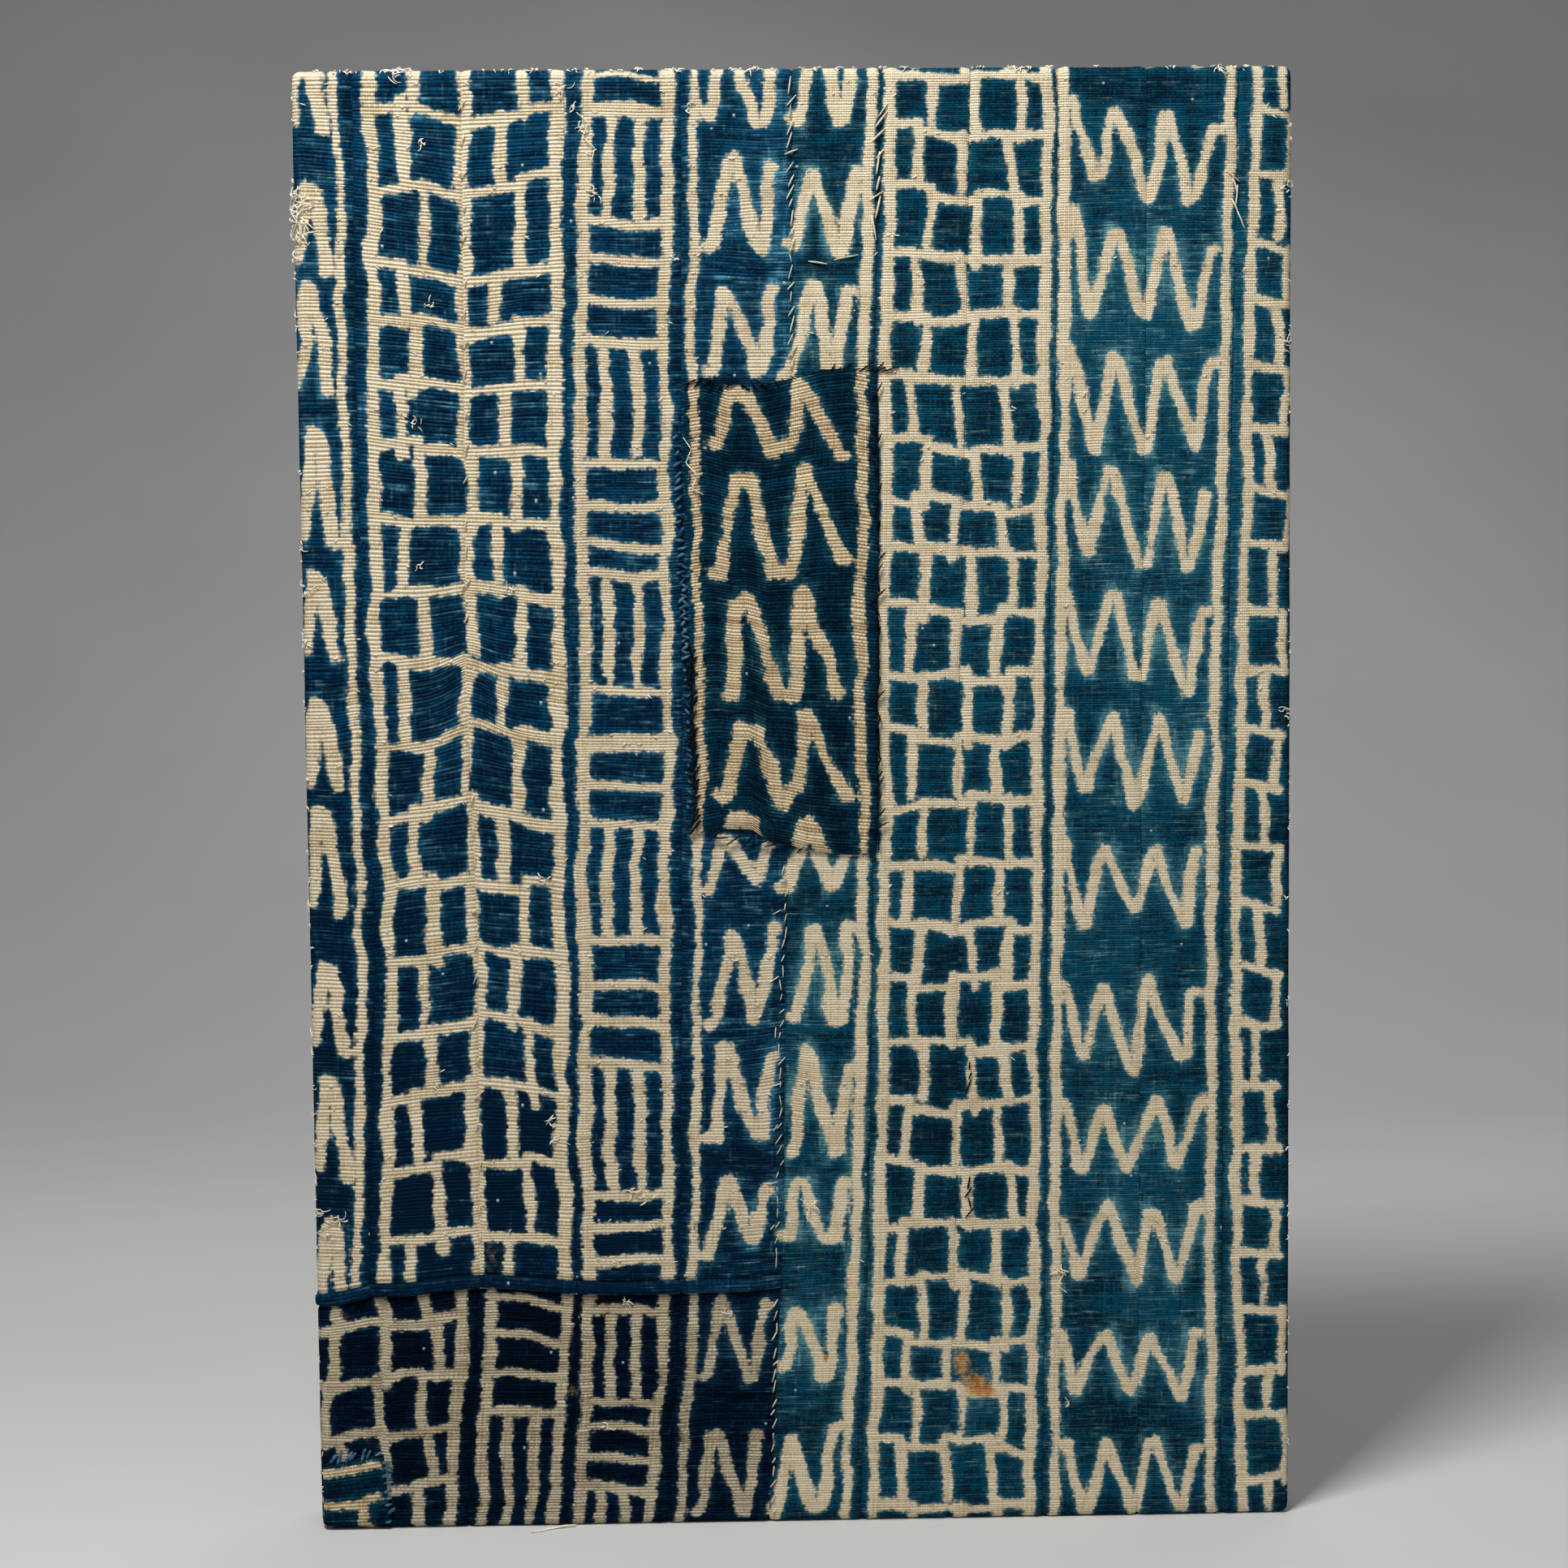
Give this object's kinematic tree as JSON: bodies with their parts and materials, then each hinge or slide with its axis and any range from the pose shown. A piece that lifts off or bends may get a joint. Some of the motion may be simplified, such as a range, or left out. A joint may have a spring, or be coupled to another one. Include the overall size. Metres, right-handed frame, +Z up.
{
  "type": "ndop cloth on a wooden stretcher frame",
  "caption": "Indigo resist-dyed ndop cloth of narrow handwoven strips, patched and mended, stretched over a mitred wooden frame.",
  "frame": {"origin": "bottom centre of the whole panel, on the surface that it stands on", "axes": "+Z up, the cloth's face looks along -Y, +X to the right seen from the front"},
  "size_m": [0.508, 0.0406, 0.752],
  "materials": {
    "bar_wood": "plain planed softwood, unfinished",
    "cloth_coarse": "coarse handspun cotton, indigo with cream resist marks, matte",
    "cloth_fine": "finer plain weave cotton, faded indigo with cream resist marks, matte",
    "cloth_mended": "dense handspun cotton, dark indigo with cream resist marks, matte",
    "cloth_patch": "darkest indigo cotton with brown-cream resist marks, matte"
  },
  "bodies": {
    "root": {"bar_bottom": "bar_wood", "bar_top": "bar_wood", "bar_left": "bar_wood", "bar_right": "bar_wood", "strip_01": "cloth_coarse", "strip_02": "cloth_coarse", "strip_03": "cloth_coarse", "strip_04": "cloth_coarse", "strip_05": "cloth_coarse", "strip_06": "cloth_fine", "strip_07": "cloth_fine", "strip_08": "cloth_fine", "strip_09": "cloth_fine", "strip_10": "cloth_fine", "strip_11": "cloth_fine", "lower_strip_01": "cloth_mended", "lower_strip_02": "cloth_mended", "lower_strip_03": "cloth_mended", "lower_strip_04": "cloth_mended", "lower_strip_05": "cloth_mended", "patch_long": "cloth_patch", "patch_corner": "cloth_patch"}
  },
  "joints": []
}
